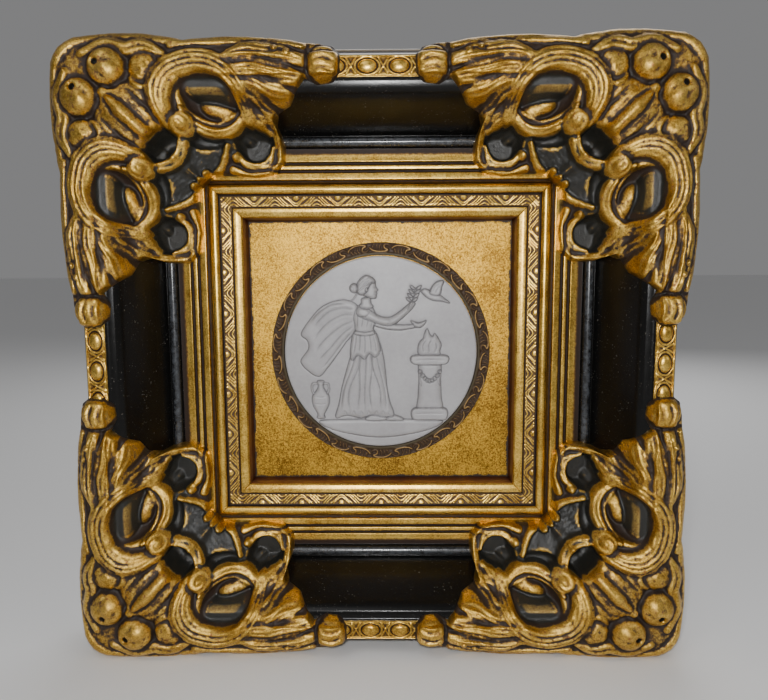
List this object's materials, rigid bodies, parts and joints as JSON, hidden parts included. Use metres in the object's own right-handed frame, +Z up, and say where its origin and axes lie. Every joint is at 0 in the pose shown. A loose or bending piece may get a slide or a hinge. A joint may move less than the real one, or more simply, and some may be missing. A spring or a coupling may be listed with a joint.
{
  "type": "framed marble relief plaque",
  "caption": "Round carved marble relief on a gilt panel, in a square wall frame with a gilt liner, black scoop moulding and cast scroll-and-leaf corners.",
  "frame": {"origin": "centre of the flat back, in the plane that lies on the wall", "axes": "+Z up as it hangs, +Y out of the back into the wall, -Y the carved front"},
  "size_m": [0.333, 0.0637, 0.333],
  "materials": {
    "rail": "gloss black over wood, with gilt steps and gilt rim",
    "casting": "worn antique gilding over red bole, dark in the hollows",
    "liner": "antique gilding with a dark carved band",
    "panel": "speckled satin gilding, worn dark at the edges",
    "ring": "dark antique gilding",
    "marble": "honed white marble"
  },
  "bodies": {
    "root": {"rail_top": "rail", "rail_bottom": "rail", "rail_left": "rail", "rail_right": "rail", "corner_top_left": "casting", "corner_top_right": "casting", "corner_bottom_left": "casting", "corner_bottom_right": "casting", "liner_top": "liner", "liner_bottom": "liner", "liner_left": "liner", "liner_right": "liner", "panel": "panel", "medallion_ring": "ring", "medallion": "marble"}
  },
  "joints": []
}
